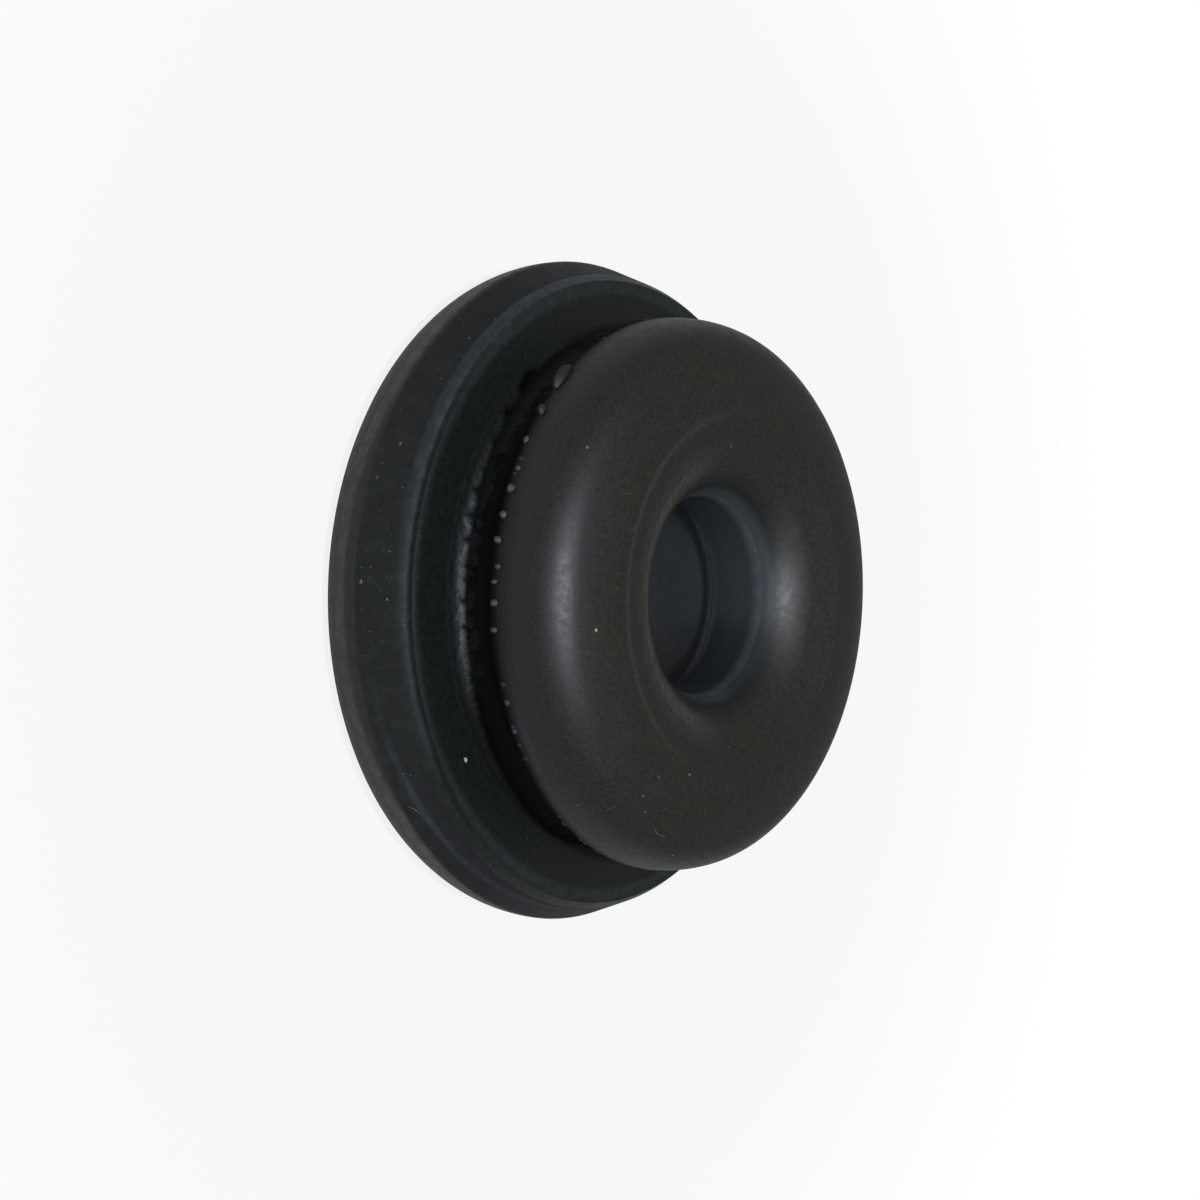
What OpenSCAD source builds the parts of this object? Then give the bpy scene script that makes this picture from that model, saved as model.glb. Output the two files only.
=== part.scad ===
// Rubber grommet: a flange, a groove that a panel snaps into, and a domed head,
// with a bore through the middle that grips a tube.
// The axis is +Z and the flat back of the flange lies on z = 0.

/* [Flange] */
// Largest diameter of the flange, at its parting line
flange_d = 30; // [28:0.5:40]
// Thickness of the flange
flange_h = 4.7; // [4:0.1:6]
// Height of the parting line above the flat back
parting_z = 2.4; // [1.5:0.1:2.8]
// How far the rounded back edge comes in from the parting line
back_edge_w = 1.5; // [0.5:0.1:2.5]
// How far the front half of the rim tapers in
rim_draft = 0.85; // [0.2:0.05:1]
// How far the chamfer on the front corner of the rim comes in
chamfer_in = 0.1; // [0.02:0.02:0.3]
// How far that chamfer runs down the rim
chamfer_down = 0.46; // [0.1:0.02:0.8]
// How far the narrow margin inside the chamfer lies below the front face
margin_drop = 0.08; // [0.02:0.01:0.2]
// Width of the level part of the margin
margin_w = 0.32; // [0.1:0.02:0.6]
// Radius with which the front face rolls down to the margin
margin_roll_r = 1.4; // [0.5:0.1:2.5]

/* [Groove] */
// Diameter of the neck at the bottom of the groove
neck_d = 20.8; // [18:0.1:21]
// Width of the groove, which is the thickness of the panel it takes
groove_w = 2.4; // [1.6:0.1:4]
// Radius at the foot of the neck, on the flange
neck_foot_r = 1.1; // [0.2:0.05:1.4]
// Radius at the top of the neck, under the head
neck_top_r = 0.4; // [0.1:0.05:0.6]

/* [Head] */
// Largest diameter of the head
head_d = 24.5; // [23.5:0.1:27]
// Height of the head, from the groove to the crown
head_h = 4.3; // [3.8:0.1:6]
// Radius of the head's back edge, beside the groove
head_edge_r = 1; // [0.4:0.05:1.2]
// Radius of the shoulder between the side of the head and its crown
shoulder_r = 2.4; // [1:0.1:2.8]

/* [Mouth and bore] */
// Diameter of the lip round the mouth, where the crown ends
lip_d = 15.9; // [15:0.1:17]
// Radius of the soft edge at the lip
lip_edge_r = 0.5; // [0.1:0.05:1]
// Slope of the outer part of the mouth, in degrees
mouth_slope = 16; // [8:1:24]
// Radius of the rounded part of the mouth
mouth_r = 3.1; // [2.4:0.1:3.6]
// Slope, in degrees, at which the rounded mouth turns more sharply into the bore
throat_slope = 54; // [45:1:65]
// Radius of that sharper turn
throat_edge_r = 1.6; // [0.6:0.05:2]
// Diameter of the bore, which is the size of the tube it grips
bore_d = 8.7; // [7:0.1:10]
// Length of the throat, from the mouth to the relief
throat_len = 1.95; // [1.2:0.05:3]
// How far the relief behind the throat is cut back
relief_cut = 0.5; // [0.2:0.05:0.8]
// Length of the land at the back end of the bore
back_land = 1.4; // [0.8:0.1:2]
// Size of the chamfer where the bore leaves the flat back
back_chamfer = 0.4; // [0.1:0.05:0.6]

/* [Hidden] */

// Segments round the axis, and along one arc of the outline
turn_segments = 180;
arc_segments = 12;
// How many points of the crown's outline the soft edge at the lip takes up
lip_reach = 3;

flange_r = flange_d / 2;
neck_r = neck_d / 2;
head_r = head_d / 2;
lip_r = lip_d / 2;
bore_r = bore_d / 2;
relief_r = bore_r + relief_cut;

groove_top_z = flange_h + groove_w;
head_wide_z = groove_top_z + head_edge_r;
crown_z = groove_top_z + head_h;

// The crown is three tangent arcs: side, shoulder and top. The slopes at which they meet are
// set here, and the side and top radii follow from the width and height that are left.
side_to_shoulder = 70;
shoulder_to_top = 20;
crown_w = head_r - lip_r;
crown_h = crown_z - head_wide_z;
crown_left = [
    crown_w - shoulder_r * (sin(side_to_shoulder) - sin(shoulder_to_top)),
    crown_h - shoulder_r * (cos(shoulder_to_top) - cos(side_to_shoulder))
];
crown_det = (1 - sin(side_to_shoulder)) * (1 - cos(shoulder_to_top))
    - sin(shoulder_to_top) * cos(side_to_shoulder);
side_r = (crown_left.x * (1 - cos(shoulder_to_top)) - sin(shoulder_to_top) * crown_left.y)
    / crown_det;
top_r = ((1 - sin(side_to_shoulder)) * crown_left.y - cos(side_to_shoulder) * crown_left.x)
    / crown_det;

// The mouth is a cone, a large arc and a small arc, each tangent to the next. The centre of the
// large arc stands this far from the centre of the small one.
arc_apart = (mouth_r - throat_edge_r) * [sin(throat_slope), -cos(throat_slope)];
small_x = bore_r + throat_edge_r;
cone_w = lip_r - small_x - arc_apart.x + mouth_r * sin(mouth_slope);
throat_top_z = crown_z - cone_w * tan(mouth_slope) - mouth_r * cos(mouth_slope) - arc_apart.y;
throat_end_z = throat_top_z - throat_len;

// Lower corner of the rim's chamfer, and the turn of the roll from the face to the margin
chamfer_foot = [
    flange_r - rim_draft * (1 - chamfer_down / (flange_h - parting_z)),
    flange_h - chamfer_down
];
margin_edge_r = flange_r - rim_draft - chamfer_in;
roll_turn = acos(1 - margin_drop / margin_roll_r);
face_end_r = margin_edge_r - margin_w - margin_roll_r * sin(roll_turn);

function unit(v) = v / norm(v);

// Points of an arc, from one angle to another
function arc(centre, radius, from, to) = [
    for (i = [0 : arc_segments])
        let (a = from + (to - from) * i / arc_segments)
            centre + radius * [cos(a), sin(a)]
];

// Points that round corner b, between a and c, no larger than the shorter side allows
function rounded(a, b, c, radius) =
    let (
        u = unit(a - b),
        v = unit(c - b),
        half = acos(u * v) / 2,
        reach = min(radius / tan(half), 0.49 * norm(a - b), 0.49 * norm(c - b)),
        r = reach * tan(half),
        centre = b + unit(u + v) * r / sin(half),
        p = b + u * reach - centre,
        q = b + v * reach - centre,
        from = atan2(p.y, p.x),
        turn = (atan2(q.y, q.x) - from + 540) % 360 - 180
    )
    arc(centre, r, from, from + turn);

// The bore from the flat back up to the throat, with its relief
function bore_outline() = [
    [bore_r + back_chamfer, 0],
    [bore_r, back_chamfer],
    [bore_r, back_land],
    [relief_r, back_land + relief_cut],
    [relief_r, throat_end_z - relief_cut],
    [bore_r, throat_end_z]
];

// The mouth, from the throat out to where its cone begins
function mouth_outline() =
    let (small = [small_x, throat_top_z])
    concat(
        arc(small, throat_edge_r, 180, 90 + throat_slope),
        arc(small + arc_apart, mouth_r, 90 + throat_slope, 90 + mouth_slope)
    );

// The crown from the lip out and down to the widest part of the head
function crown_outline() =
    let (
        top_centre = [lip_r, crown_z - top_r],
        top_end = 90 - shoulder_to_top,
        top_dir = [cos(top_end), sin(top_end)],
        shoulder_centre = top_centre + (top_r - shoulder_r) * top_dir,
        side_start = 90 - side_to_shoulder,
        side_centre = [head_r - side_r, head_wide_z]
    )
    concat(
        arc(top_centre, top_r, 90, top_end),
        arc(shoulder_centre, shoulder_r, top_end, side_start),
        arc(side_centre, side_r, side_start, 0)
    );

// The soft edge at the lip, then the crown
function head_outline() =
    let (
        mouth = mouth_outline(),
        crown = crown_outline(),
        lip = rounded(mouth[len(mouth) - 1], crown[0], crown[lip_reach], lip_edge_r)
    )
    concat(mouth, lip, [for (i = [lip_reach + 1 : len(crown) - 1]) crown[i]]);

// The head's back edge, and the neck with its top and foot
function groove_outline() =
    let (
        under = [head_r - head_edge_r, groove_top_z],
        neck_top = [neck_r, groove_top_z],
        neck_foot = [neck_r, flange_h]
    )
    concat(
        arc([head_r - head_edge_r, head_wide_z], head_edge_r, 0, -90),
        rounded(under, neck_top, neck_foot, neck_top_r),
        rounded(neck_top, neck_foot, [face_end_r, flange_h], neck_foot_r)
    );

// The rim of the flange: margin, chamfer, tapered half and rounded back edge
function rim_outline() =
    let (parting = [flange_r, parting_z])
    concat(
        arc([face_end_r, flange_h - margin_roll_r], margin_roll_r, 90, 90 - roll_turn),
        [[margin_edge_r, flange_h - margin_drop], chamfer_foot],
        [
            for (i = [0 : arc_segments])
                let (a = 90 * i / arc_segments)
                    parting + [back_edge_w * (cos(a) - 1), -parting_z * sin(a)]
        ]
    );

module grommet() {
    color([0.09, 0.095, 0.1])
        rotate_extrude($fn = turn_segments)
            polygon(concat(
                bore_outline(),
                head_outline(),
                groove_outline(),
                rim_outline()
            ));
}

grommet();
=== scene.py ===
"""Rubber grommet on a pale floor, seen from the photograph's viewing angle."""

import math
import random

import bpy
from mathutils import Matrix, Vector


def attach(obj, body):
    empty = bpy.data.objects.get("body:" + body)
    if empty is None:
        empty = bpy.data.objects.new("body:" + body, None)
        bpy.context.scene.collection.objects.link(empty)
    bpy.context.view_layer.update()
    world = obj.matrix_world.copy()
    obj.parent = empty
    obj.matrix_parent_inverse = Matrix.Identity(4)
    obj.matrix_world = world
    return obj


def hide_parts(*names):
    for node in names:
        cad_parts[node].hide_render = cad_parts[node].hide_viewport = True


MM = 0.001

# Camera, fitted to the outline and the ring edges of the part
IMAGE_PX = 1200
FOCAL_PX = 2585.4
SENSOR_MM = 36
CAMERA_MM = 120
AXIS_TILT = math.radians(51.64)
AXIS_ROLL = math.radians(-2.11)
ORIGIN_PX = (-61.14, 10.41)

# Studio, in metres. The camera sees floor and world as white, and the part sees them dimmer.
FLOOR_SIZE = 3
FLOOR_WHITE = 0.5
FLOOR_LIFT = 0.86
NEAR_FLOOR = 0.025
FAR_FLOOR = 0.06
BORE_FLOOR = 0.005
MIRROR_BORE = 0.35
MIRROR_FLOOR = 0.05
WORLD_LEVEL = 0.22
KEY_TILT = math.radians(25.8)
KEY_DISTANCE = 0.6
KEY_SIZE = 0.06
KEY_WATTS = 3.3
KEY_TINT = (0.96, 1, 1.05)
CLIP_NEAR = 0.001
CLIP_FAR = 20

# The part, in mm: the same sizes as its solid
FLANGE_R = 15
FLANGE_H = 4.7
PARTING_Z = 2.4
BACK_EDGE_W = 1.5
RIM_DRAFT = 0.85
RIM_CHAMFER_IN = 0.1
RIM_CHAMFER_DOWN = 0.46
MARGIN_DROP = 0.08
MARGIN_W = 0.32
MARGIN_RISE_R = 1.4
NECK_R = 10.4
GROOVE_W = 2.4
NECK_FOOT_R = 1.1
NECK_TOP_R = 0.4
HEAD_R = 12.25
HEAD_H = 4.3
HEAD_EDGE_R = 1
SHOULDER_R = 2.4
SIDE_TO_SHOULDER = 70
SHOULDER_TO_TOP = 20
LIP_R = 7.95
LIP_REACH = 3
LIP_ROUND_R = 0.5
MOUTH_SLOPE = 16
MOUTH_R = 3.1
THROAT_SLOPE = 54
THROAT_EDGE_R = 1.6
BORE_R = 4.35
THROAT_LEN = 1.95
RELIEF_CUT = 0.5
BACK_LAND = 1.4
BACK_CHAMFER = 0.4

# Fineness of the lathe-turned body
TURN_STEPS = 320
ARC_STEPS = 14
LINE_STEP = 0.3
SAME_POINT = 1e-5
RING_NEAR = 0.001
SHARP_ANGLE = math.radians(32)

# Torn tabs and flash nibs on the head's back edge: azimuth in degrees, length round the edge, and
# standing height in mm
TABS = (
    (132, 1.5, 0.5),
    (141.5, 0.6, 0.36),
)
NIBS = (
    (148.5, 0.4, 0.15),
    (155, 0.28, 0.12),
    (159.4, 0.42, 0.3),
    (164.7, 0.36, 0.28),
    (169.6, 0.34, 0.28),
    (174.8, 0.24, 0.2),
    (177.7, 0.22, 0.2),
    (181.8, 0.32, 0.3),
    (186.9, 0.28, 0.24),
    (201.5, 0.26, 0.1),
    (207.7, 0.26, 0.1),
)
FAINT_NIBS = 34
FAINT_LENGTH = (0.16, 0.3)
FAINT_HEIGHT = (0.04, 0.09)
NIB_ARC = -12
NIB_STRAY = (-8, 4)
NIB_DEPTH = 0.15
NIB_LIFT = 0.8

# Mesh of one nib or grain
BLOB_RINGS = 4
BLOB_STEPS = 10
BLOB_RAGGED = 0.16
BLOB_SUNK = 0.03

# Bright chips and lint on the front: azimuth, radius and height of the place, and size
CHIPS = (
    (214.7, 12.47, 4.7, 0.13),
    (188.1, 9.83, 11.16, 0.09),
)
LINT = (
    (147.8, 11.41, 10.42, 0.09),
    (93, 6.54, 11, 0.07),
    (181.4, 14.45, 3.9, 0.07),
    (155.3, 14.63, 3.39, 0.07),
    (161.6, 14.83, 2.85, 0.06),
    (178.6, 14.86, 2.8, 0.1),
    (131.9, 14.46, 3.87, 0.05),
    (255.4, 11.59, 10.23, 0.06),
    (234.7, 9.34, 11.27, 0.05),
    (246.2, 8.32, 11.39, 0.08),
    (234, 10.38, 11, 0.07),
    (237.8, 10.76, 10.86, 0.06),
    (226.6, 12.09, 9.23, 0.05),
    (178, 8.65, 11.37, 0.04),
    (203.8, 10.95, 10.76, 0.05),
    (270.1, 6.63, 11.02, 0.04),
)

# Scratches and one hair: azimuth, radius and height of one end, then of the other, and their bow
SCRATCHES = (
    ((137.2, 6.21, 10.9), (138, 5.56, 10.6), 0.03),
    ((153.2, 9.25, 11.29), (151, 8.82, 11.35), -0.03),
    ((161.4, 8.42, 11.39), (159.8, 8.08, 11.4), 0.02),
    ((230.3, 11.74, 10.02), (230.4, 11.37, 10.45), 0.06),
    ((217.8, 14.84, 2.82), (219.9, 14.73, 3.14), 0.05),
    ((243.7, 10.99, 10.73), (247.9, 11.04, 10.71), -0.12),
)
SCRATCH_STEPS = 12
SCRATCH_HALF = 0.022
SCRATCH_RISE = 0.03

SEED = 7

# Tints of the pale pieces
NIB_PALE = (0.05, 0.055, 0.058)
TORN_GREY = (0.011, 0.012, 0.012)
CHIP_PALE = (0.5, 0.5, 0.42)
LINT_PALE = (0.13, 0.13, 0.12)
SCRATCH_PALE = (0.12, 0.117, 0.1)
PALE_DIM = 0.4
PALE_ROUGH = 0.6

# Tints of the rubber
# Painted light and shade on one rubber: the flange darker and bluish green, the head lighter, its
# crown warm, and the near shoulder cool beside its highlight
FLANGE_TINT = (0.0022, 0.0042, 0.0036)
HEAD_TINT = (0.0066, 0.0084, 0.0084)
CROWN_TINT = (0.0122, 0.0117, 0.0082)
SHOULDER_TINT = (0.0092, 0.0111, 0.0112)
# Painted sheen in the bore's mouth, and painted light on the bore's inside
PAINTED_SHEEN_TINT = (0.035, 0.042, 0.049)
BORE_LIGHT_TINT = (0.018, 0.025, 0.03)
# Dull rubber in the groove, darkened there as painted shade, and on the rim's wall
GROOVE_TINT = (0.006, 0.006, 0.0055)
WALL_TINT = (0.0045, 0.0062, 0.0072)
# Painted highlight: ragged glints along the lit foot of the neck
FOOT_GLINT_TINT = (0.013, 0.018, 0.023)
# Casts of the paler marks, worn ones and painted light alike
COOL_WEAR_AND_SHEEN_TINT = (0.88, 1.02, 1.12)
WARM_WEAR_AND_SHEEN_TINT = (1.08, 1.02, 0.92)
DUST_TINT = (1, 1, 0.95)

# Where the tints, painted light and shade, dust and dullness begin, in mm of height (Z) and of radius
# (R). Each is a pair, from none to full.
HEAD_Z = (7, 7.6)
CROWN_Z = (8.6, 10.4)
CROWN_FROM_R = (4.7, 5.6)
SHOULDER_Z = (11.3, 10.9)
SHOULDER_FROM_R = (9.4, 10.2)
# The bore's painted light: its inside and relief, the paler step, its depth and the sheen in its
# mouth
BORE_TO_R = (4.9, 4.42)
RELIEF_Z = (7, 6.8)
RELIEF_TO_R = (5.3, 5.1)
STEP_LOW_Z = (6.2, 6.35)
STEP_HIGH_Z = (6.95, 6.8)
STEP_TO_R = (4.95, 4.82)
STEP_PALE = 5
DEPTH_Z = (3, 6.3)
DEPTH_LEVELS = (0.45, 1.1)
SHEEN_Z = (6.9, 8.5)
SHEEN_TO_R = (5.3, 4.9)
RIM_FROM_R = (14, 14.2)
FACE_Z = (4.3, 4.8)
FILM_Z = (2.45, 2.7)
DUST_Z = (2.5, 2.8)
EVEN_TO_R = (5.3, 4.8)
LUMPS_Z = (5.5, 5.25)

# Bands round the part: centre, half width and fading width, in degrees of azimuth or in mm
SHOULDER_TURN = (172, 28, 35)
# Painted shade on one side of the bore, and how dark it gets
SHADE_TURN = (316, 14, 28)
SHADE_LEVEL = 0.4
FAR_SIDE = (0, 115, 45)
FOOT_Z = (5, 0.5, 0.4)
FOOT_R = (10.9, 0.6, 0.3)
FOOT_DARK_TURN = (260, 50, 20)
# Painted glints along the foot of the neck, on the near side
FOOT_GLINT_Z = (4.95, 0.16, 0.1)
FOOT_GLINT_TURN = (180, 14, 12)
SKIRT_Z = (4.84, 0.16, 0.08)
SKIRT_R = (11.45, 0.32, 0.12)
WALL_Z = (3.35, 0.8, 0.12)

# Worn marks and painted light, paler than the rubber: its bands of radius, height and azimuth, or
# None for all, and its strength
COOL_WEAR_AND_SHEEN = (
    # The rim's chamfer, all round and then at the upper left
    ((14.2, 0.16, 0.06), (4.55, 0.08, 0.22), None, 0.0015),
    ((14.2, 0.16, 0.06), (4.47, 0.16, 0.22), (128, 25, 28), 0.013),
    # The margin inside it, on the far side and then as a fine ring on the near side
    ((13.72, 0.14, 0.3), (5.6, 1, 0.1), FAR_SIDE, 0.008),
    ((13.95, 0.08, 0.08), (5.6, 1, 0.1), (165, 35, 20), 0.007),
    # The corner between the margin and the chamfer
    ((14.05, 0.06, 0.09), None, (175, 25, 20), 0.009),
    # Painted highlight along the throat's edge, and painted sheen on the far side of the turn into it
    ((4.43, 0.03, 0.06), (10.6, 2, 0.4), None, 0.02),
    ((5.5, 0.4, 0.6), None, (0, 15, 35), 0.012),
    # The side of the head
    (None, (8.35, 0.1, 0.2), (228, 18, 14), 0.012),
)
WARM_WEAR_AND_SHEEN = (
    # The ring at the lip
    ((7.95, 0.04, 0.2), None, (165, 40, 50), 0.01),
    # Painted reflection on the near side of the mouth, as a narrow band and a broad one
    ((5.8, 0.25, 0.35), None, (185, 50, 40), 0.017),
    ((5.9, 0.6, 0.6), None, (180, 55, 40), 0.008),
)

# A pale streak that climbs round the rim's wall: height at azimuth nought and climb per degree
STREAK_START = 0.12
STREAK_CLIMB = 0.0145
STREAK_TURN = (238, 12, 34)
STREAK_EDGE = (0.24, 0.06)
STREAK_FROM_R = (14.1, 14.4)
STREAK_PALE = 0.022

# Painted reflection: a pale band below the parting line, and a line in it that sinks towards the near
# side
PARTING_END_Z = (2.62, 2.46)
PARTING_FROM_R = (14.2, 14.6)
PARTING_TURN = (180, 70, 40)
WANDER_RISE = 0.17
WANDER_TURN = ((70, 100), (150, 128))
PARTING_PALE = 0.009
LINE_TURN = (10, 50)
LINE_LEVELS = (1.6, 2.3)
LINE_EDGE = (0.5, 0.15)
LINE_PALE = 0.026

# Dullness, in the groove also painted shade, then grain and dust
GROOVE_DULL_AND_SHADE = 0.6
WALL_DULL = 0.5
SKIRT_DULL = 0.25
DULL_SHADE_FROM_Z = (5.1, 5.22)
DULL_SHADE_TO_Z = (8.9, 7.5)
DULL_SHADE_FROM_R = (9.5, 9.8)
RUBBER_IOR = 1.45
FOOT_ROUGHER = 0.02
FOOT_RAGGED = 9
GRAIN_HEIGHT = 0.006
DUST_SCALE = 3
DUST_SHARE = 0.5
DUST_DOT = (0.16, 0.05)
DUST_LIFT = 0.035
WALL_DUST_LIFT = 0.08
WALL_FILM = 0.007

# Noises, each as scale per mm, detail and, where it isn't 0.5, roughness
PATCH_NOISE = (2.2, 4)
FINE_NOISE = (7, 3, 0.7)
FILM_NOISE = (1.3, 5, 0.7)
FOOT_GLINT_NOISE = (1.9, 3, 0.6)
RAG_NOISE = (1.7, 3, 0.6)
LUMP_NOISE = (2.7, 2)
GRAIN_NOISE = (9, 3, 0.65)
ROUGH_NOISE = (3, 3, 0.6)
PALE_NOISE = (9, 3)

# Parts of a noise that are spread from none to full, and the levels that they give
NOISE_SPAN = (0.3, 0.7)
FILM_SPAN = (0.42, 0.72)
FOOT_GLINT_SPAN = (0.46, 0.56)
RAG_SPAN = (0.36, 0.64)
PATCH_LEVELS = (0.6, 1.3)
FINE_LEVELS = (0.55, 1.45)
RAG_LEVELS = (-0.17, 0.17)
ROUGH_LEVELS = (0.45, 0.54)


def polar(angle):
    """Unit vector at an angle in degrees."""
    return Vector((math.cos(math.radians(angle)), math.sin(math.radians(angle))))


def arc(centre, radius, start, end):
    """Points of an arc from one angle to another, in degrees."""
    turn = (end - start) / ARC_STEPS
    return [Vector(centre) + radius * polar(start + turn * i) for i in range(ARC_STEPS + 1)]


def rounded(a, b, c, radius):
    """Points that round corner b between a and c."""
    a, b, c = Vector(a), Vector(b), Vector(c)
    u = (a - b).normalized()
    v = (c - b).normalized()
    half = math.acos(u.dot(v)) / 2
    reach = min(radius / math.tan(half), 0.49 * (a - b).length, 0.49 * (c - b).length)
    r = reach * math.tan(half)
    centre = b + (u + v).normalized() * (r / math.sin(half))
    p = b + u * reach - centre
    q = b + v * reach - centre
    start = math.degrees(math.atan2(p.y, p.x))
    turn = (math.degrees(math.atan2(q.y, q.x)) - start + 540) % 360 - 180
    return arc(centre, r, start, start + turn)


def crown_outline(head_wide_z, crown_z):
    """The crown from the lip out and down: top, shoulder and side arcs."""
    low, high = math.radians(SIDE_TO_SHOULDER), math.radians(SHOULDER_TO_TOP)
    width = HEAD_R - LIP_R - SHOULDER_R * (math.sin(low) - math.sin(high))
    rise = crown_z - head_wide_z - SHOULDER_R * (math.cos(high) - math.cos(low))
    det = (1 - math.sin(low)) * (1 - math.cos(high)) - math.sin(high) * math.cos(low)
    side_r = (width * (1 - math.cos(high)) - math.sin(high) * rise) / det
    top_r = ((1 - math.sin(low)) * rise - math.cos(low) * width) / det
    top_end = 90 - SHOULDER_TO_TOP
    side_start = 90 - SIDE_TO_SHOULDER
    top_centre = Vector((LIP_R, crown_z - top_r))
    shoulder_centre = top_centre + (top_r - SHOULDER_R) * polar(top_end)
    side_centre = Vector((HEAD_R - side_r, head_wide_z))
    return (
        arc(top_centre, top_r, 90, top_end)
        + arc(shoulder_centre, SHOULDER_R, top_end, side_start)
        + arc(side_centre, side_r, side_start, 0)
    )


def mouth_outline(crown_z):
    """The mouth from the bore out to the lip: rounded edge, hollow arc and gentle cone."""
    big = Vector((BORE_R + THROAT_EDGE_R, 0)) + (MOUTH_R - THROAT_EDGE_R) * polar(THROAT_SLOPE - 90)
    end = big + MOUTH_R * polar(90 + MOUTH_SLOPE)
    rise = end.y + (LIP_R - end.x) * math.tan(math.radians(MOUTH_SLOPE))
    edge = Vector((BORE_R + THROAT_EDGE_R, crown_z - rise))
    big.y += edge.y
    small_arc = arc(edge, THROAT_EDGE_R, 180, 90 + THROAT_SLOPE)
    big_arc = arc(big, MOUTH_R, 90 + THROAT_SLOPE, 90 + MOUTH_SLOPE)
    return small_arc + big_arc


def rim_outline():
    """The rim: the margin beside the face, chamfer, tapered half and rounded back edge."""
    corner = Vector((FLANGE_R - RIM_DRAFT, FLANGE_H))
    parting = Vector((FLANGE_R, PARTING_Z))
    down = (parting - corner) * (RIM_CHAMFER_DOWN / (FLANGE_H - PARTING_Z))
    low = FLANGE_H - MARGIN_DROP
    edge = corner.x - RIM_CHAMFER_IN
    turn = math.degrees(math.acos(1 - MARGIN_DROP / MARGIN_RISE_R))
    start = edge - MARGIN_W - MARGIN_RISE_R * math.sin(math.radians(turn))
    points = arc((start, FLANGE_H - MARGIN_RISE_R), MARGIN_RISE_R, 90, 90 - turn)
    points += [Vector((edge, low)), corner + down, parting]
    for i in range(ARC_STEPS + 1):
        a = math.pi / 2 * i / ARC_STEPS
        edge_in = BACK_EDGE_W * (1 - math.cos(a))
        points.append(Vector((FLANGE_R - edge_in, PARTING_Z * (1 - math.sin(a)))))
    return points


def body_outline():
    """Closed outline of the part, radius against height, from the back of the bore round."""
    groove_top = FLANGE_H + GROOVE_W
    head_wide_z = groove_top + HEAD_EDGE_R
    crown_z = groove_top + HEAD_H
    mouth = mouth_outline(crown_z)
    crown = crown_outline(head_wide_z, crown_z)
    throat_end = mouth[0].y - THROAT_LEN
    relief_r = BORE_R + RELIEF_CUT
    points = [
        Vector((BORE_R + BACK_CHAMFER, 0)),
        Vector((BORE_R, BACK_CHAMFER)),
        Vector((BORE_R, BACK_LAND)),
        Vector((relief_r, BACK_LAND + RELIEF_CUT)),
        Vector((relief_r, throat_end - RELIEF_CUT)),
        Vector((BORE_R, throat_end)),
    ]
    lip = rounded(mouth[-1], crown[0], crown[LIP_REACH], LIP_ROUND_R)
    points += mouth + lip + crown[LIP_REACH + 1 :]
    points += arc((HEAD_R - HEAD_EDGE_R, head_wide_z), HEAD_EDGE_R, 0, -90)
    points += rounded((HEAD_R, groove_top), (NECK_R, groove_top), (NECK_R, FLANGE_H), NECK_TOP_R)
    points += rounded((NECK_R, groove_top), (NECK_R, FLANGE_H), (FLANGE_R, FLANGE_H), NECK_FOOT_R)
    points += rim_outline()
    return points


def fine_outline(points):
    """The outline with its long straight runs divided and double points dropped."""
    out = []
    for a, b in zip(points, points[1:] + points[:1]):
        if (b - a).length < SAME_POINT:
            continue
        k = max(1, math.ceil((b - a).length / LINE_STEP))
        out += [a + (b - a) * (i / k) for i in range(k)]
    return out


# The outline that the body is turned from, and on which chips, lint and scratches lie
FINE_LINE = fine_outline(body_outline())


def add_piece(name, verts, faces, material):
    """A smooth mesh in mm, riding the grommet's body."""
    mesh = bpy.data.meshes.new(name)
    mesh.from_pydata([[c * MM for c in v] for v in verts], [], faces)
    mesh.materials.append(material)
    mesh.shade_smooth()
    piece = bpy.data.objects.new(name, mesh)
    bpy.context.scene.collection.objects.link(piece)
    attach(piece, "root")
    return piece


def soften_relief(mesh):
    """Shade smoothly across the upper step of the bore's relief."""
    throat_end = mouth_outline(FLANGE_H + GROOVE_W + HEAD_H)[0].y - THROAT_LEN
    steps = (throat_end, throat_end - RELIEF_CUT)
    for edge in mesh.edges:
        a, b = (mesh.vertices[v].co / MM for v in edge.vertices)
        inner = a.xy.length < BORE_R + RELIEF_CUT + RING_NEAR
        level = abs(a.z - b.z) < RING_NEAR
        if inner and level and min(abs(a.z - step) for step in steps) < RING_NEAR:
            edge.use_edge_sharp = False


def add_body(material):
    """The whole part, turned about its axis."""
    n = len(FINE_LINE)
    verts = []
    faces = []
    for j in range(TURN_STEPS):
        a = 2 * math.pi * j / TURN_STEPS
        verts += [(p.x * math.cos(a), p.x * math.sin(a), p.y) for p in FINE_LINE]
    for j in range(TURN_STEPS):
        here = j * n
        there = (j + 1) % TURN_STEPS * n
        for i in range(n):
            k = (i + 1) % n
            faces.append((here + i, here + k, there + k, there + i))
    body = add_piece("rubber_body", verts, faces, material)
    body.data.set_sharp_from_angle(angle=SHARP_ANGLE)
    soften_relief(body.data)
    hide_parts("grommet")


def camera_turn():
    """The camera's own axes, from the tilt and roll of the part's axis in the picture."""
    n = Vector(
        (
            math.sin(AXIS_TILT) * math.cos(AXIS_ROLL),
            math.sin(AXIS_TILT) * math.sin(AXIS_ROLL),
            math.cos(AXIS_TILT),
        )
    )
    u = Vector((0, 1, 0)).cross(n).normalized()
    v = n.cross(u)
    return Matrix((u, v, n))


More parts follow.
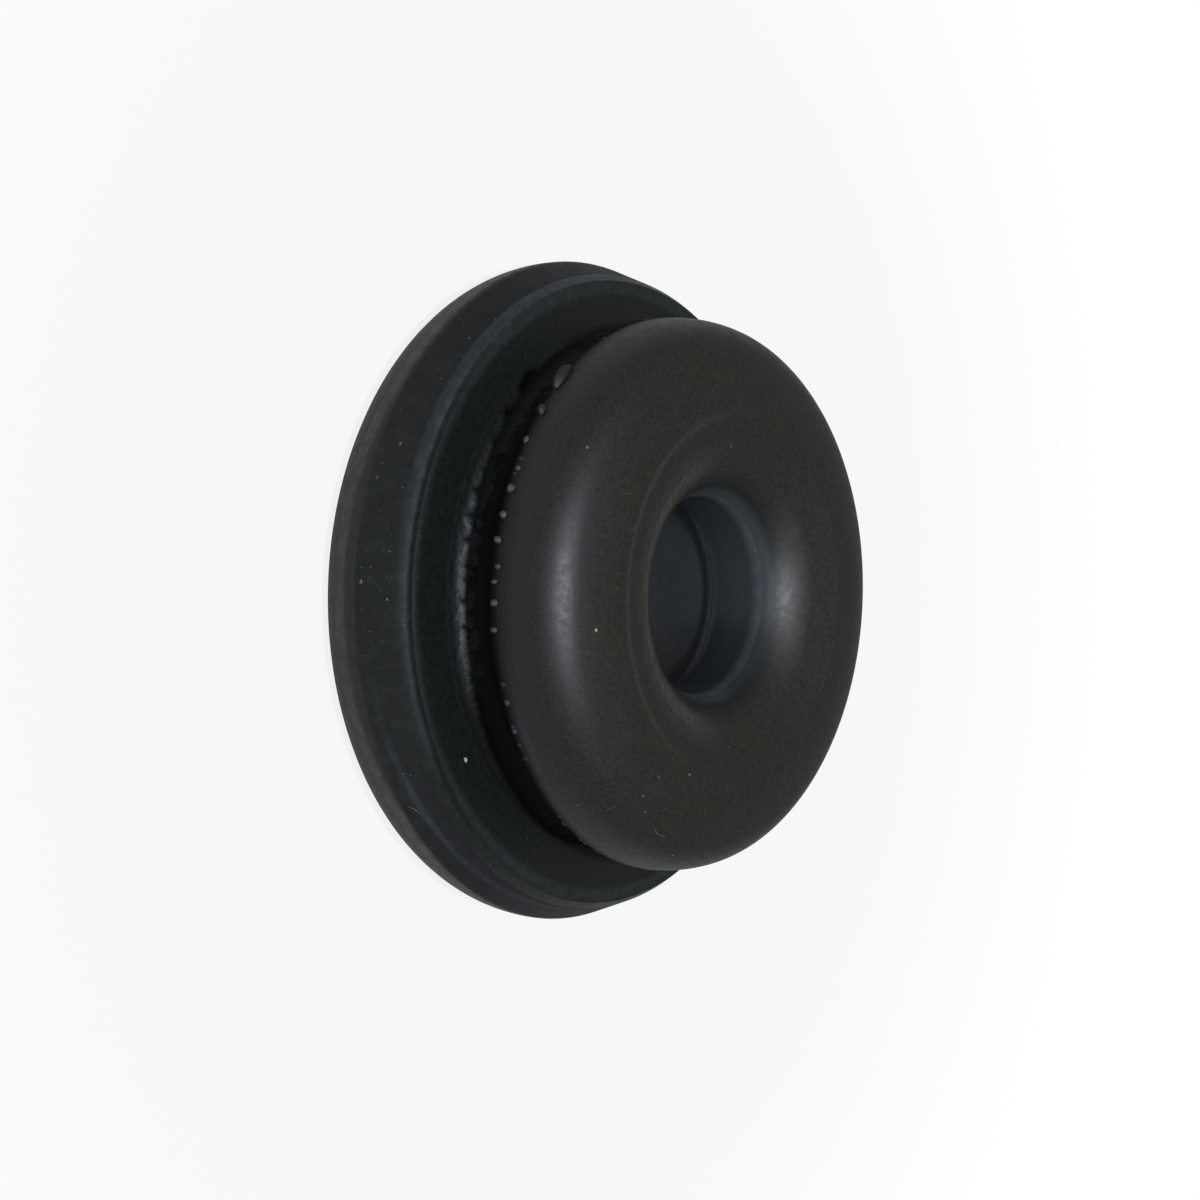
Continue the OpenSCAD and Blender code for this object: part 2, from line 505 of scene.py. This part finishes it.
def set_camera():
    """A camera that sees the part as the photograph does, on its side."""
    turn = camera_turn()
    mm_per_px = CAMERA_MM / FOCAL_PX
    origin = Vector((ORIGIN_PX[0] * mm_per_px, ORIGIN_PX[1] * mm_per_px, -CAMERA_MM))
    data = bpy.data.cameras.new("camera")
    data.sensor_width = SENSOR_MM
    data.lens = SENSOR_MM * FOCAL_PX / IMAGE_PX
    data.clip_start = CLIP_NEAR
    data.clip_end = CLIP_FAR
    camera = bpy.data.objects.new("camera", data)
    bpy.context.scene.collection.objects.link(camera)
    camera.matrix_world = Matrix.Translation(-(turn @ origin) * MM) @ turn.to_4x4()
    bpy.context.scene.camera = camera


def set_world():
    """Even grey light from all round, which the camera sees as white."""
    world = bpy.data.worlds.new("studio")
    world.use_nodes = True
    tree = world.node_tree
    back = tree.nodes["Background"]
    back.inputs["Color"].default_value = (1, 1, 1, 1)
    ray = tree.nodes.new("ShaderNodeLightPath").outputs
    seen = math_node(tree, "MAXIMUM", ray["Is Camera Ray"], ray["Is Transmission Ray"])
    tree.links.new(ramp(tree, seen, 0, 1, WORLD_LEVEL, 1), back.inputs["Strength"])
    bpy.context.scene.world = world


def set_lamp():
    """One small round softbox above the part, on the near side."""
    data = bpy.data.lights.new("key", "AREA")
    data.shape = "DISK"
    data.size = KEY_SIZE
    data.energy = KEY_WATTS
    data.color = KEY_TINT
    lamp = bpy.data.objects.new("key", data)
    bpy.context.scene.collection.objects.link(lamp)
    aim = Vector((-math.sin(KEY_TILT), 0, math.cos(KEY_TILT)))
    lamp.location = aim * KEY_DISTANCE
    lamp.rotation_euler = aim.to_track_quat("Z", "Y").to_euler()


def math_node(tree, operation, a, b=None):
    """A math node on two sockets or numbers; gives its output."""
    node = tree.nodes.new("ShaderNodeMath")
    node.operation = operation
    for socket, value in zip(node.inputs, (a, b)):
        if value is None:
            continue
        if isinstance(value, (int, float)):
            socket.default_value = value
        else:
            tree.links.new(value, socket)
    return node.outputs[0]


def ramp(tree, value, low, high, out_low=0, out_high=1):
    """Smooth step of a socket from low to high."""
    node = tree.nodes.new("ShaderNodeMapRange")
    node.interpolation_type = "SMOOTHSTEP"
    tree.links.new(value, node.inputs["Value"])
    node.inputs["From Min"].default_value = low
    node.inputs["From Max"].default_value = high
    node.inputs["To Min"].default_value = out_low
    node.inputs["To Max"].default_value = out_high
    return node.outputs["Result"]


def floor_white(tree):
    """How much of white the floor shows to the camera, and how little of it to the part's sheen."""
    where = tree.nodes.new("ShaderNodeTexCoord")
    length = tree.nodes.new("ShaderNodeVectorMath")
    length.operation = "LENGTH"
    tree.links.new(where.outputs["Object"], length.inputs[0])
    distance = length.outputs["Value"]
    ray = tree.nodes.new("ShaderNodeLightPath").outputs
    around_part = ramp(tree, distance, NEAR_FLOOR, FAR_FLOOR, FLOOR_LIFT, 1)
    seen = math_node(tree, "MULTIPLY", ray["Is Camera Ray"], around_part)
    mirror = math_node(tree, "MAXIMUM", ray["Is Glossy Ray"], ray["Is Transmission Ray"])
    # Painted reflection: under the bore the floor glows brighter to the part's sheen, to light the
    # bore's inside
    in_bore = ramp(tree, distance, BORE_FLOOR * 0.9, BORE_FLOOR, MIRROR_BORE, 0)
    mirrored = math_node(tree, "MULTIPLY", mirror, math_node(tree, "MAXIMUM", in_bore, MIRROR_FLOOR))
    return math_node(tree, "MAXIMUM", seen, mirrored)


def floor_material():
    """A pale floor that the camera sees as nearly white, with a faint shadow."""
    mat = bpy.data.materials.new("floor")
    mat.use_nodes = True
    tree = mat.node_tree
    tree.nodes.clear()
    out = tree.nodes.new("ShaderNodeOutputMaterial")
    mix = tree.nodes.new("ShaderNodeMixShader")
    matte = tree.nodes.new("ShaderNodeBsdfDiffuse")
    glow = tree.nodes.new("ShaderNodeEmission")
    matte.inputs["Color"].default_value = (FLOOR_WHITE, FLOOR_WHITE, FLOOR_WHITE, 1)
    glow.inputs["Strength"].default_value = 1
    tree.links.new(floor_white(tree), mix.inputs["Fac"])
    tree.links.new(matte.outputs[0], mix.inputs[1])
    tree.links.new(glow.outputs[0], mix.inputs[2])
    tree.links.new(mix.outputs[0], out.inputs["Surface"])
    return mat


def set_floor():
    """A wide plain floor under the part."""
    half = FLOOR_SIZE / 2
    mesh = bpy.data.meshes.new("floor")
    corners = [(-half, -half, 0), (half, -half, 0), (half, half, 0), (-half, half, 0)]
    mesh.from_pydata(corners, [], [(0, 1, 2, 3)])
    mesh.materials.append(floor_material())
    floor = bpy.data.objects.new("floor", mesh)
    bpy.context.scene.collection.objects.link(floor)


def noise(tree, where, scale, detail, rough=0.5):
    """Noise about 0.5 on a place in mm."""
    node = tree.nodes.new("ShaderNodeTexNoise")
    node.inputs["Scale"].default_value = scale
    node.inputs["Detail"].default_value = detail
    node.inputs["Roughness"].default_value = rough
    tree.links.new(where, node.inputs["Vector"])
    return node.outputs["Fac"]


def blend(tree, amount, low, high):
    """Mix of two colours, each a socket or three numbers."""
    node = tree.nodes.new("ShaderNodeMix")
    node.data_type = "RGBA"
    tree.links.new(amount, node.inputs["Factor"])
    for socket, value in ((node.inputs[6], low), (node.inputs[7], high)):
        if isinstance(value, tuple):
            socket.default_value = (*value, 1)
        else:
            tree.links.new(value, socket)
    return node.outputs[2]


def blend_value(tree, amount, low, high):
    """Mix of two numbers, each a socket or plain."""
    gap = math_node(tree, "SUBTRACT", high, low)
    return math_node(tree, "ADD", low, math_node(tree, "MULTIPLY", gap, amount))


def band(tree, value, centre, half, soft):
    """One inside a band about a centre, fading to nought over the soft width."""
    off = math_node(tree, "ABSOLUTE", math_node(tree, "SUBTRACT", value, centre))
    return ramp(tree, off, half, half + soft, 1, 0)


def turn_from(tree, azimuth, centre):
    """Degrees between two azimuths, the short way round."""
    return math_node(tree, "PINGPONG", math_node(tree, "SUBTRACT", azimuth, centre), 180)


def sector(tree, azimuth, centre, half, soft):
    """One inside a band of azimuth, fading to nought over the soft width."""
    return ramp(tree, turn_from(tree, azimuth, centre), half, half + soft, 1, 0)


def part_places(tree):
    """Place on the part in mm, with radius, height and azimuth in degrees."""
    where = tree.nodes.new("ShaderNodeTexCoord")
    scale = tree.nodes.new("ShaderNodeVectorMath")
    scale.operation = "SCALE"
    scale.inputs["Scale"].default_value = 1 / MM
    tree.links.new(where.outputs["Object"], scale.inputs[0])
    split = tree.nodes.new("ShaderNodeSeparateXYZ")
    tree.links.new(scale.outputs[0], split.inputs[0])
    x, y, z = split.outputs
    squares = [math_node(tree, "MULTIPLY", side, side) for side in (x, y)]
    r = math_node(tree, "SQRT", math_node(tree, "ADD", *squares))
    back_x = math_node(tree, "MULTIPLY", x, -1)
    back_y = math_node(tree, "MULTIPLY", y, -1)
    turn = math_node(tree, "MULTIPLY", math_node(tree, "ARCTAN2", back_y, back_x), 180 / math.pi)
    return scale.outputs[0], r, z, math_node(tree, "ADD", turn, 180)


def speckle(tree, where):
    """Sparse fine dust."""
    cells = tree.nodes.new("ShaderNodeTexVoronoi")
    cells.inputs["Scale"].default_value = DUST_SCALE
    tree.links.new(where, cells.inputs["Vector"])
    rare = ramp(tree, cells.outputs["Color"], 1 - DUST_SHARE, 1)
    dot = ramp(tree, cells.outputs["Distance"], *DUST_DOT)
    return math_node(tree, "MULTIPLY", rare, dot)


def masks_product(tree, *masks):
    """Several masks multiplied together."""
    total = masks[0]
    for mask in masks[1:]:
        total = math_node(tree, "MULTIPLY", total, mask)
    return total


def masks_sum(tree, *pairs):
    """Masks added up, each with its own strength."""
    total = None
    for mask, strength in pairs:
        part = math_node(tree, "MULTIPLY", mask, strength)
        total = part if total is None else math_node(tree, "ADD", total, part)
    return total


def scaled(tree, colour, amount):
    """A colour, as a socket or three numbers, times a socket."""
    node = tree.nodes.new("ShaderNodeVectorMath")
    node.operation = "SCALE"
    if isinstance(colour, tuple):
        node.inputs[0].default_value = colour
    else:
        tree.links.new(colour, node.inputs[0])
    tree.links.new(amount, node.inputs["Scale"])
    return node.outputs[0]


def added(tree, *colours):
    """Colours added up."""
    total = colours[0]
    for colour in colours[1:]:
        node = tree.nodes.new("ShaderNodeVectorMath")
        node.operation = "ADD"
        tree.links.new(total, node.inputs[0])
        tree.links.new(colour, node.inputs[1])
        total = node.outputs[0]
    return total


def painted_tints(tree, r, z, azimuth):
    """The rubber with painted light and shade: a darker bluish flange, a lighter warm crown, and a
    cooler shoulder beside its highlight on the near side.
    """
    crown = masks_product(tree, ramp(tree, z, *CROWN_Z), ramp(tree, r, *CROWN_FROM_R))
    shoulder = masks_product(
        tree,
        ramp(tree, z, *SHOULDER_Z),
        ramp(tree, r, *SHOULDER_FROM_R),
        sector(tree, azimuth, *SHOULDER_TURN),
    )
    colour = blend(tree, ramp(tree, z, *HEAD_Z), FLANGE_TINT, HEAD_TINT)
    colour = blend(tree, crown, colour, blend(tree, shoulder, CROWN_TINT, SHOULDER_TINT))
    return bore_painted_light(tree, colour, r, z, azimuth)


def bore_painted_light(tree, colour, r, z, azimuth):
    """Painted light in the bore over that colour: lighter up towards the mouth, paler on the relief's
    step, with painted sheen in its mouth and painted shade on one side.
    """
    relief = masks_product(tree, ramp(tree, z, *RELIEF_Z), ramp(tree, r, *RELIEF_TO_R))
    inside = math_node(tree, "MAXIMUM", ramp(tree, r, *BORE_TO_R), relief)
    shade = ramp(tree, sector(tree, azimuth, *SHADE_TURN), 0, 1, 1, SHADE_LEVEL)
    deep = masks_product(tree, ramp(tree, z, *DEPTH_Z, *DEPTH_LEVELS), shade)
    step = masks_product(
        tree, ramp(tree, r, *STEP_TO_R), ramp(tree, z, *STEP_LOW_Z), ramp(tree, z, *STEP_HIGH_Z)
    )
    depth = masks_sum(tree, (deep, 1), (step, STEP_PALE))
    painted_sheen = masks_product(tree, inside, ramp(tree, z, *SHEEN_Z), ramp(tree, r, *SHEEN_TO_R), shade)
    colour = blend(tree, inside, colour, scaled(tree, BORE_LIGHT_TINT, depth))
    return blend(tree, painted_sheen, colour, PAINTED_SHEEN_TINT)


def wall_film(tree, where, r, z):
    """A thin uneven film of dust on the tapered wall of the rim."""
    film = ramp(tree, noise(tree, where, *FILM_NOISE), *FILM_SPAN)
    return masks_product(tree, film, ramp(tree, r, *RIM_FROM_R), ramp(tree, z, *FILM_Z))


def wear_and_sheen(tree, r, z, azimuth, rows):
    """Strength of worn marks and painted light in a table of bands."""
    pairs = []
    for radius, height, turn, strength in rows:
        masks = []
        if radius:
            masks.append(band(tree, r, *radius))
        if height:
            masks.append(band(tree, z, *height))
        if turn:
            masks.append(sector(tree, azimuth, *turn))
        pairs.append((masks_product(tree, *masks), strength))
    return masks_sum(tree, *pairs)


def streak(tree, r, z, azimuth):
    """A pale streak that climbs round the rim's wall."""
    climb = math_node(tree, "MULTIPLY", azimuth, STREAK_CLIMB)
    line = math_node(tree, "ADD", climb, STREAK_START)
    off = math_node(tree, "ABSOLUTE", math_node(tree, "SUBTRACT", z, line))
    return masks_product(
        tree,
        ramp(tree, off, *STREAK_EDGE),
        sector(tree, azimuth, *STREAK_TURN),
        ramp(tree, r, *STREAK_FROM_R),
    )


def parting_reflection(tree, r, z, azimuth):
    """Painted reflection below the parting line, whose edge wanders up at the upper left: a band and
    a line.
    """
    wander = masks_product(tree, *(ramp(tree, azimuth, *side) for side in WANDER_TURN))
    end = math_node(tree, "SUBTRACT", z, math_node(tree, "MULTIPLY", wander, WANDER_RISE))
    below = masks_product(tree, ramp(tree, end, *PARTING_END_Z), sector(tree, azimuth, *PARTING_TURN))
    level = ramp(tree, turn_from(tree, azimuth, 180), *LINE_TURN, *LINE_LEVELS)
    off = math_node(tree, "ABSOLUTE", math_node(tree, "SUBTRACT", z, level))
    return masks_sum(
        tree,
        (masks_product(tree, below, ramp(tree, r, *PARTING_FROM_R)), PARTING_PALE),
        (masks_product(tree, below, ramp(tree, off, *LINE_EDGE)), LINE_PALE),
    )


def foot_glints(tree, where, z, azimuth):
    """Painted highlight: ragged pale glints along the lit foot of the neck, on the near side."""
    pieces = ramp(tree, noise(tree, where, *FOOT_GLINT_NOISE), *FOOT_GLINT_SPAN)
    return masks_product(tree, pieces, band(tree, z, *FOOT_GLINT_Z), sector(tree, azimuth, *FOOT_GLINT_TURN))


def dust_level(tree, where, r, z):
    """Dust all over, with more of it on the rim's wall."""
    dots = speckle(tree, where)
    wall = masks_product(tree, ramp(tree, r, *RIM_FROM_R), ramp(tree, z, *DUST_Z))
    return masks_sum(tree, (dots, DUST_LIFT), (masks_product(tree, dots, wall), WALL_DUST_LIFT))


def rubber_colour(tree, where, r, z, azimuth):
    """Colour of the rubber with its worn places, dust, fine mottling and painted light, shade,
    highlights and reflections.
    """
    patchy = ramp(tree, noise(tree, where, *PATCH_NOISE), *NOISE_SPAN, *PATCH_LEVELS)
    fine = ramp(tree, noise(tree, where, *FINE_NOISE), *NOISE_SPAN, *FINE_LEVELS)
    fine = blend_value(tree, ramp(tree, r, *EVEN_TO_R), fine, 1)
    cool = masks_sum(
        tree,
        (masks_product(tree, wear_and_sheen(tree, r, z, azimuth, COOL_WEAR_AND_SHEEN), patchy), 1),
        (masks_product(tree, streak(tree, r, z, azimuth), patchy), STREAK_PALE),
        (wall_film(tree, where, r, z), WALL_FILM),
    )
    warm = masks_sum(
        tree,
        (masks_product(tree, wear_and_sheen(tree, r, z, azimuth, WARM_WEAR_AND_SHEEN), patchy), 1),
        (masks_product(tree, parting_reflection(tree, r, z, azimuth), patchy), 1),
    )
    return added(
        tree,
        scaled(tree, painted_tints(tree, r, z, azimuth), fine),
        scaled(tree, COOL_WEAR_AND_SHEEN_TINT, cool),
        scaled(tree, WARM_WEAR_AND_SHEEN_TINT, warm),
        scaled(tree, DUST_TINT, dust_level(tree, where, r, z)),
        scaled(tree, FOOT_GLINT_TINT, foot_glints(tree, where, z, azimuth)),
    )


def dull_and_shade_share(tree, where, r, z, azimuth, foot):
    """Where the rubber is dull: the groove, darkened as painted shade, with a ragged edge along the
    head's shadow, and the far wall of the rim.
    """
    rag = ramp(tree, noise(tree, where, *RAG_NOISE), *RAG_SPAN, *RAG_LEVELS)
    low = ramp(tree, math_node(tree, "ADD", z, rag), *DULL_SHADE_FROM_Z)
    groove = masks_product(tree, low, ramp(tree, z, *DULL_SHADE_TO_Z), ramp(tree, r, *DULL_SHADE_FROM_R))
    dark_foot = masks_product(tree, foot, sector(tree, azimuth, *FOOT_DARK_TURN))
    skirt = masks_product(tree, band(tree, r, *SKIRT_R), band(tree, z, *SKIRT_Z))
    wall = masks_product(
        tree,
        band(tree, z, *WALL_Z),
        ramp(tree, r, *RIM_FROM_R),
        sector(tree, azimuth, *FAR_SIDE),
    )
    share = math_node(tree, "MAXIMUM", groove, dark_foot)
    share = math_node(tree, "MAXIMUM", share, math_node(tree, "MULTIPLY", skirt, SKIRT_DULL))
    share = math_node(tree, "MULTIPLY", share, GROOVE_DULL_AND_SHADE)
    return math_node(tree, "MAXIMUM", share, math_node(tree, "MULTIPLY", wall, WALL_DULL))


def add_grain(tree, where, z, foot, shader):
    """Fine grain all over the shader, with ragged lumps along the neck's foot."""
    lumps = masks_product(tree, noise(tree, where, *LUMP_NOISE), foot, ramp(tree, z, *LUMPS_Z))
    bump = tree.nodes.new("ShaderNodeBump")
    bump.inputs["Strength"].default_value = 1
    bump.inputs["Distance"].default_value = GRAIN_HEIGHT * MM
    height = masks_sum(tree, (noise(tree, where, *GRAIN_NOISE), 1), (lumps, FOOT_RAGGED))
    tree.links.new(height, bump.inputs["Height"])
    tree.links.new(bump.outputs["Normal"], shader.inputs["Normal"])


def rubber_material():
    """Moulded black rubber, finely grained, with scuffed edges, a little dust, a dull groove, and
    painted light and shade.
    """
    mat = bpy.data.materials.new("rubber")
    mat.use_nodes = True
    tree = mat.node_tree
    shader = tree.nodes["Principled BSDF"]
    where, r, z, azimuth = part_places(tree)
    foot = masks_product(tree, band(tree, z, *FOOT_Z), band(tree, r, *FOOT_R))
    rough = ramp(tree, noise(tree, where, *ROUGH_NOISE), *NOISE_SPAN, *ROUGH_LEVELS)
    rough = masks_sum(tree, (rough, 1), (foot, FOOT_ROUGHER))
    tree.links.new(rubber_colour(tree, where, r, z, azimuth), shader.inputs["Base Color"])
    tree.links.new(rough, shader.inputs["Roughness"])
    shader.inputs["IOR"].default_value = RUBBER_IOR
    add_grain(tree, where, z, foot, shader)
    # Dull diffuse rubber; in the groove it is also painted shade
    dull = tree.nodes.new("ShaderNodeBsdfDiffuse")
    tree.links.new(blend(tree, ramp(tree, z, *FACE_Z), WALL_TINT, GROOVE_TINT), dull.inputs["Color"])
    mix = tree.nodes.new("ShaderNodeMixShader")
    tree.links.new(dull_and_shade_share(tree, where, r, z, azimuth, foot), mix.inputs["Fac"])
    tree.links.new(shader.outputs[0], mix.inputs[1])
    tree.links.new(dull.outputs[0], mix.inputs[2])
    tree.links.new(mix.outputs[0], tree.nodes["Material Output"].inputs["Surface"])
    return mat


def pale_material(name, colour):
    """Matte pale dust, lint or thinned rubber."""
    mat = bpy.data.materials.new(name)
    mat.use_nodes = True
    tree = mat.node_tree
    shader = tree.nodes["Principled BSDF"]
    where = part_places(tree)[0]
    patchy = ramp(tree, noise(tree, where, *PALE_NOISE), *NOISE_SPAN)
    dim = tuple(PALE_DIM * c for c in colour)
    tree.links.new(blend(tree, patchy, dim, colour), shader.inputs["Base Color"])
    shader.inputs["Roughness"].default_value = PALE_ROUGH
    return mat


def on_ring(azimuth, r, z):
    """Point in mm at an azimuth in degrees, a radius and a height."""
    a = math.radians(azimuth)
    return Vector((r * math.cos(a), r * math.sin(a), z))


def outline_normal(azimuth, r, z):
    """Outward direction of the front surface near an outline place."""
    n = len(FINE_LINE)
    near = min(range(n), key=lambda i: (FINE_LINE[i].x - r) ** 2 + (FINE_LINE[i].y - z) ** 2)
    step = FINE_LINE[(near + 2) % n] - FINE_LINE[near - 2]
    out = Vector((-step.y, step.x)).normalized()
    return on_ring(azimuth, out.x, out.y)


def blob(centre, along, up, size, rng):
    """A lumpy low mound: its points and faces."""
    side = up.cross(along).normalized()
    verts = [centre + up * size[2]]
    for i in range(1, BLOB_RINGS + 1):
        slope = math.pi / 2 * i / BLOB_RINGS
        lift = size[2] * math.cos(slope) - (BLOB_SUNK if i == BLOB_RINGS else 0)
        for j in range(BLOB_STEPS):
            a = 2 * math.pi * j / BLOB_STEPS
            wide = math.sin(slope) * (1 + rng.uniform(-BLOB_RAGGED, BLOB_RAGGED))
            across = side * (size[1] * wide * math.sin(a))
            verts.append(centre + along * (size[0] * wide * math.cos(a)) + across + up * lift)
    faces = [(0, 1 + j, 1 + (j + 1) % BLOB_STEPS) for j in range(BLOB_STEPS)]
    for i in range(BLOB_RINGS - 1):
        for j in range(BLOB_STEPS):
            a = 1 + i * BLOB_STEPS + j
            b = 1 + i * BLOB_STEPS + (j + 1) % BLOB_STEPS
            faces.append((a, a + BLOB_STEPS, b + BLOB_STEPS, b))
    return verts, faces


def join_shapes(shapes):
    """One list of points and faces from many."""
    verts, faces = [], []
    for v, f in shapes:
        faces += [tuple(i + len(verts) for i in face) for face in f]
        verts += v
    return verts, faces


def edge_lumps(marks, rng):
    """Low lumps on the head's back edge."""
    centre = Vector((HEAD_R - HEAD_EDGE_R, FLANGE_H + GROOVE_W + HEAD_EDGE_R))
    shapes = []
    for azimuth, length, height in marks:
        out = polar(NIB_ARC + rng.uniform(*NIB_STRAY))
        place = centre + HEAD_EDGE_R * out
        up = on_ring(azimuth, out.x, out.y)
        along = on_ring(azimuth + 90, 1, 0)
        size = (length / 2, NIB_DEPTH, height * NIB_LIFT)
        shapes.append(blob(on_ring(azimuth, place.x, place.y), along, up, size, rng))
    return shapes


def add_nibs(pale, grey):
    """Pale flash nibs along the head's back edge, then its torn tabs and faint nibs in grey."""
    rng = random.Random(SEED)
    torn = list(TABS)
    for _ in range(FAINT_NIBS):
        torn.append((rng.uniform(0, 360), rng.uniform(*FAINT_LENGTH), rng.uniform(*FAINT_HEIGHT)))
    add_piece("flash_nibs", *join_shapes(edge_lumps(NIBS, rng)), pale)
    add_piece("flash_tabs", *join_shapes(edge_lumps(torn, rng)), grey)


def add_specks(name, marks, material):
    """Pale grains lying on the front."""
    rng = random.Random(SEED + 1)
    shapes = []
    for azimuth, r, z, size in marks:
        up = outline_normal(azimuth, r, z)
        along = on_ring(azimuth + 90, 1, 0)
        shapes.append(blob(on_ring(azimuth, r, z), along, up, (size, size * 0.7, size * 0.5), rng))
    add_piece(name, *join_shapes(shapes), material)


def ribbon(start, end, bow):
    """A thin raised ribbon from one outline place to another: its points and faces."""
    verts, faces = [], []
    for i in range(SCRATCH_STEPS + 1):
        k = i / SCRATCH_STEPS
        azimuth, r, z = (a + (b - a) * k for a, b in zip(start, end))
        up = outline_normal(azimuth, r, z)
        cross = up.cross(on_ring(azimuth + 90, 1, 0)).normalized()
        mid = on_ring(azimuth, r, z) + cross * (bow * math.sin(math.pi * k)) + up * SCRATCH_RISE
        half = cross * (SCRATCH_HALF * math.sin(math.pi * (0.1 + 0.8 * k)))
        verts += [mid - half - up * SCRATCH_RISE, mid, mid + half - up * SCRATCH_RISE]
        if i:
            j = 3 * i
            faces += [(j - 3, j - 2, j + 1, j), (j - 2, j - 1, j + 2, j + 1)]
    return verts, faces


def add_scratches(material):
    """Fine pale scratches and a hair, each a thin bowed ribbon."""
    add_piece("scratches", *join_shapes(ribbon(*row) for row in SCRATCHES), material)


bpy.context.scene.view_settings.view_transform = "Standard"
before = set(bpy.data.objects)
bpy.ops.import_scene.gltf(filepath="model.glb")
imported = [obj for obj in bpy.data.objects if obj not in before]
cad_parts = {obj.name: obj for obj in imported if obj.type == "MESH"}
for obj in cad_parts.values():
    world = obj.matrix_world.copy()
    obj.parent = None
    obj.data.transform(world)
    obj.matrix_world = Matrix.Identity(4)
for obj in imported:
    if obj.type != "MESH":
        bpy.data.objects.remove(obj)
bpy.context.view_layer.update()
set_camera()
set_world()
set_lamp()
set_floor()
add_body(rubber_material())
add_nibs(pale_material("flash", NIB_PALE), pale_material("torn_flash", TORN_GREY))
add_specks("chips", CHIPS, pale_material("chip", CHIP_PALE))
add_specks("lint", LINT, pale_material("lint", LINT_PALE))
add_scratches(pale_material("scratch", SCRATCH_PALE))
